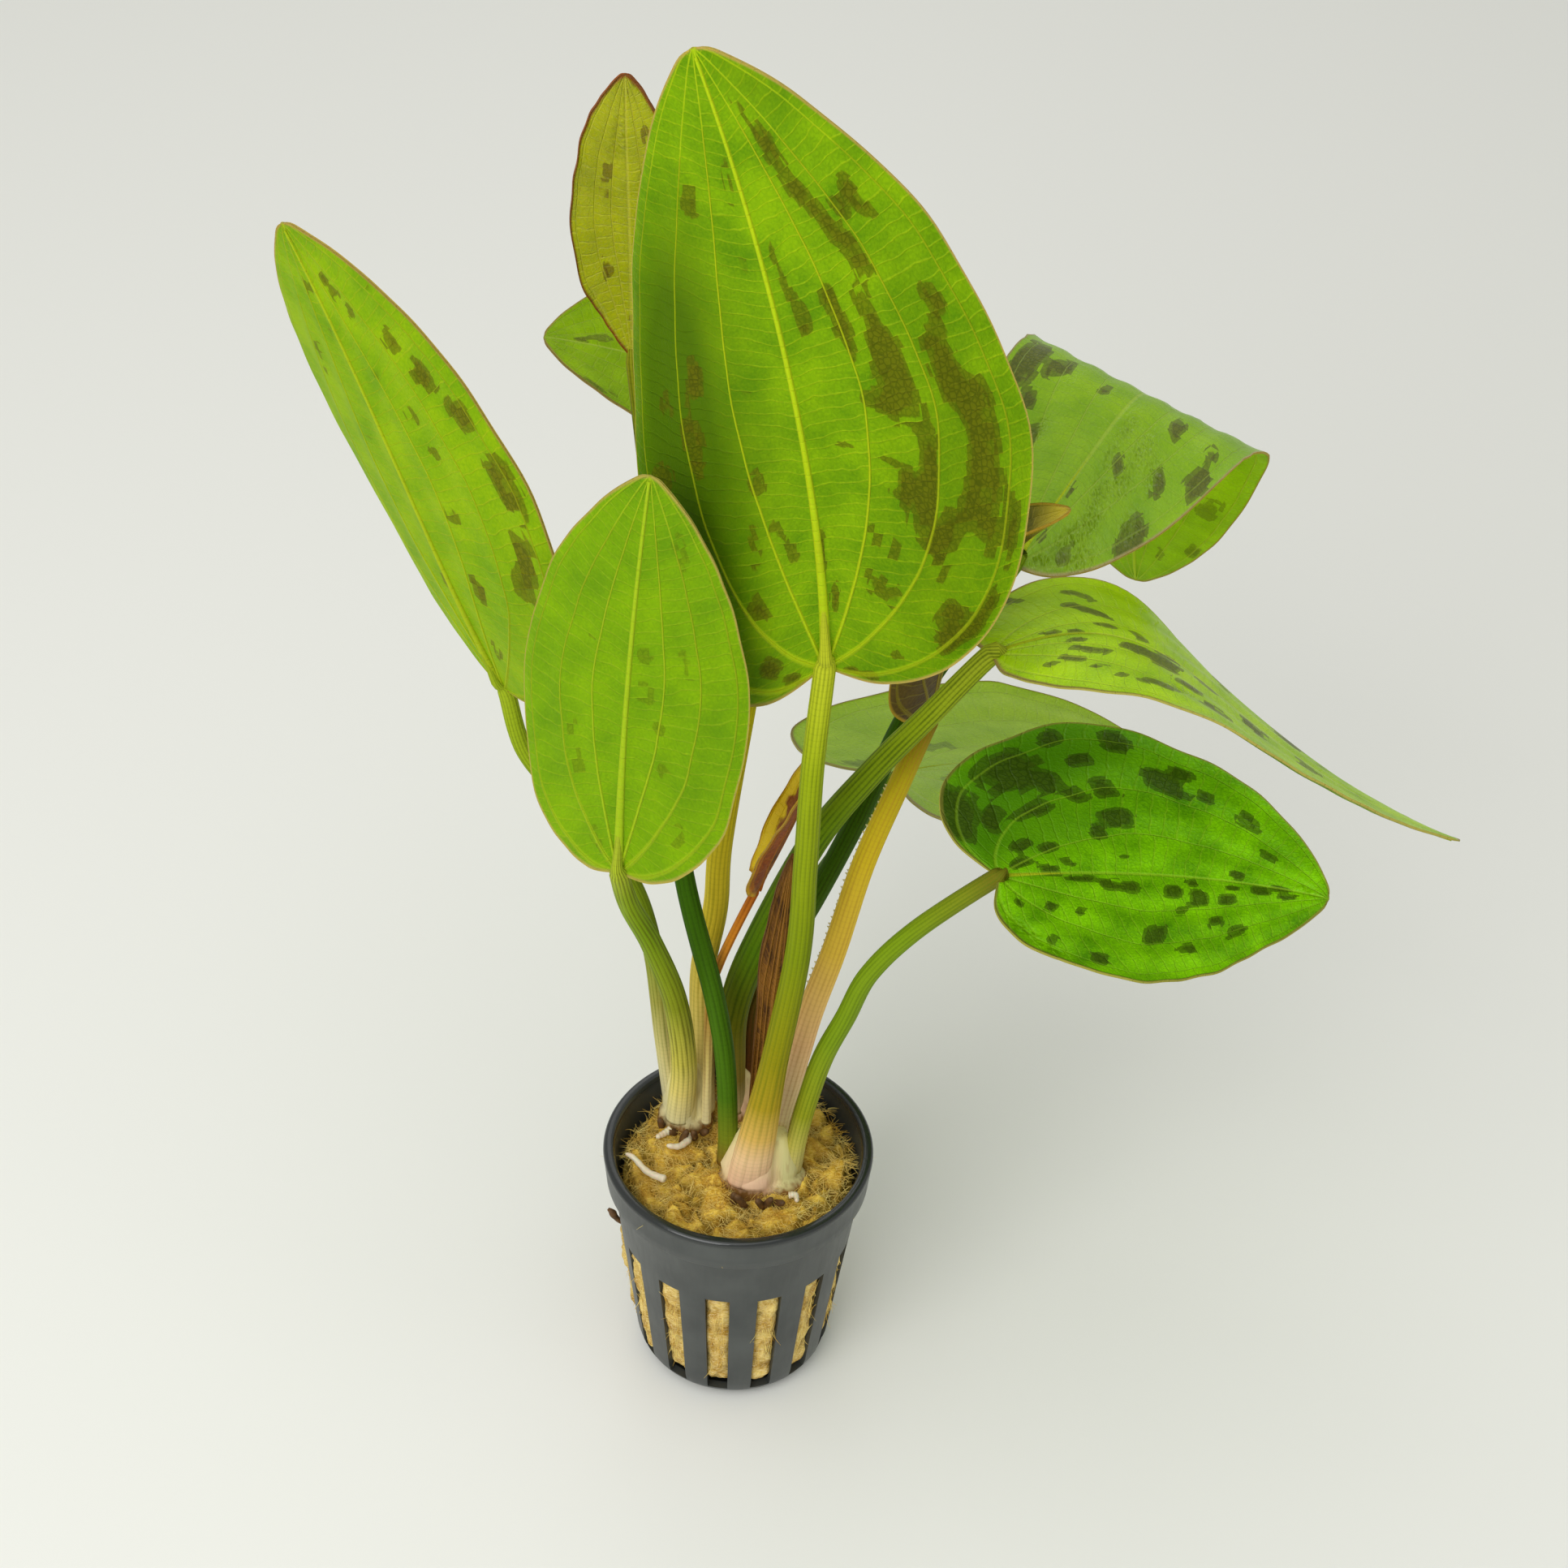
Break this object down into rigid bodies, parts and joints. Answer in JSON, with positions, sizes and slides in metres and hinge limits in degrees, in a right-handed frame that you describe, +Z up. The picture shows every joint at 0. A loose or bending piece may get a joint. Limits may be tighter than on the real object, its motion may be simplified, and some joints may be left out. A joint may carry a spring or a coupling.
{
  "type": "potted echinodorus plant",
  "caption": "Broad-leaved water plant with blotched green leaves on long stems, rooted in mineral wool in a slotted dark plastic net pot.",
  "frame": {"origin": "middle of the pot's flat underside, on the surface it stands on", "axes": "+Z up along the pot's axis, front of the plant towards -Y, +X to the viewer's right"},
  "size_m": [0.1923, 0.147, 0.2743],
  "materials": {
    "pot": "satin",
    "wool": "matte",
    "crown": "matte",
    "leaf": "satin",
    "young_leaf": "satin",
    "stem": "satin",
    "dead_leaf": "matte",
    "root": "satin"
  },
  "bodies": {
    "root": {"pot": "pot", "wool": "wool", "crown_front": "crown", "crown_left": "crown", "crown_back": "crown", "leaf_tall": "leaf", "stem_tall": "stem", "leaf_front_left": "leaf", "stem_front_left": "stem", "leaf_far_left": "leaf", "stem_far_left": "stem", "leaf_young": "young_leaf", "stem_young": "stem", "leaf_back_left": "leaf", "stem_back_left": "stem", "leaf_folded": "leaf", "stem_folded": "stem", "leaf_drooping": "leaf", "stem_drooping": "stem", "leaf_low_right": "leaf", "stem_low_right": "stem", "leaf_back_right": "leaf", "stem_back_right": "stem", "leaf_rolled": "young_leaf", "stem_rolled": "stem", "leaf_dead": "dead_leaf", "stem_dead": "dead_leaf", "sheath_dead": "dead_leaf", "root_long": "root", "root_left_outer": "root", "root_left_inner": "root", "root_hook": "root"}
  },
  "joints": []
}
